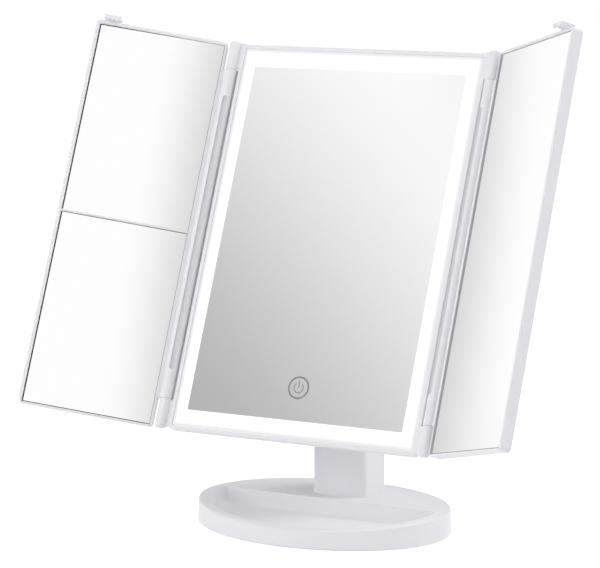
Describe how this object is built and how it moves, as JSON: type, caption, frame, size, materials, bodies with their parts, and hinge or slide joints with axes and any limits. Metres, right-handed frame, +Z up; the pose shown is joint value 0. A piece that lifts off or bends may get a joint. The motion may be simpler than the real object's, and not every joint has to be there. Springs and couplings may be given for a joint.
{
  "type": "trifold vanity mirror",
  "caption": "Lit vanity mirror with a centre panel between two folding wings, a touch key in the lit glass, a tilting neck and an oval tray base; one wing holds stacked mirrors.",
  "frame": {"origin": "middle of the base's anti-slip ring, in the plane of the table", "axes": "+Z up, -Y towards the user (the mirror side), +X to the user's right"},
  "size_m": [0.331, 0.1526, 0.308],
  "materials": {
    "white_plastic": "satin white moulding",
    "mirror_glass": "silvered, polished",
    "diffuser": "translucent milky white, lit from behind",
    "led": "surface-mounted chips",
    "led_board": "white solder mask",
    "circuit_board": "green solder mask",
    "steel": "zinc plated",
    "plated_steel": "bright nickel",
    "grey_rubber": "soft, matt",
    "dark_plastic": "fine matt"
  },
  "bodies": {
    "base": {"base_shell": "white_plastic", "base_cover": "white_plastic", "anti_slip_ring": "grey_rubber", "base_screws": "steel", "battery_contacts": "plated_steel", "usb_socket": "plated_steel", "neck_shell": "white_plastic", "neck_cover": "white_plastic", "neck_cover_screws": "steel", "neck_foot_screws": "steel", "tilt_axle": "steel", "axle_clip": "steel", "friction_washers": "dark_plastic"},
    "battery_door": {"battery_door": "white_plastic"},
    "panel": {"panel_bezel": "white_plastic", "centre_mirror": "mirror_glass", "light_diffuser": "diffuser", "led_board": "led_board", "led_chips": "led", "mirror_carrier": "white_plastic", "control_board": "circuit_board", "touch_spring": "plated_steel", "switch_housing": "dark_plastic", "rear_cover": "white_plastic", "rear_cover_screws": "steel", "tilt_bracket": "white_plastic", "bracket_screws": "steel", "left_hinge_pins": "steel", "right_hinge_pins": "steel"},
    "power_switch": {"switch_slider": "dark_plastic"},
    "left_wing": {"left_wing_frame": "white_plastic", "left_wing_back": "white_plastic", "left_upper_mirror": "mirror_glass", "left_lower_mirror": "mirror_glass", "left_upper_pad": "dark_plastic", "left_lower_pad": "dark_plastic"},
    "right_wing": {"right_wing_frame": "white_plastic", "right_wing_back": "white_plastic", "right_mirror": "mirror_glass", "right_pad": "dark_plastic"}
  },
  "joints": [
    {"name": "tilt", "type": "hinge", "parent": "base", "child": "panel", "pos_m": [0, 0.025, 0.1627], "axis": [-1, 0, 0], "range_deg": [-22.8, 67.2]},
    {"name": "left_wing_hinge", "type": "hinge", "parent": "panel", "child": "left_wing", "pos_m": [-0.0878, 0.00251, 0.17216], "axis": [0, 0.3875, 0.9219], "range_deg": [-26.4, 153.6]},
    {"name": "right_wing_hinge", "type": "hinge", "parent": "panel", "child": "right_wing", "pos_m": [0.0878, 0.00251, 0.17216], "axis": [0, -0.3875, -0.9219], "range_deg": [-37.4, 142.6]},
    {"name": "power_slide", "type": "slide", "parent": "panel", "child": "power_switch", "axis": [-1, 0, 0], "range_m": [0, 0.0025]},
    {"name": "battery_door_hinge", "type": "hinge", "parent": "base", "child": "battery_door", "pos_m": [0, 0.0083, 0.0003], "axis": [-1, 0, 0], "range_deg": [0, 60]}
  ]
}
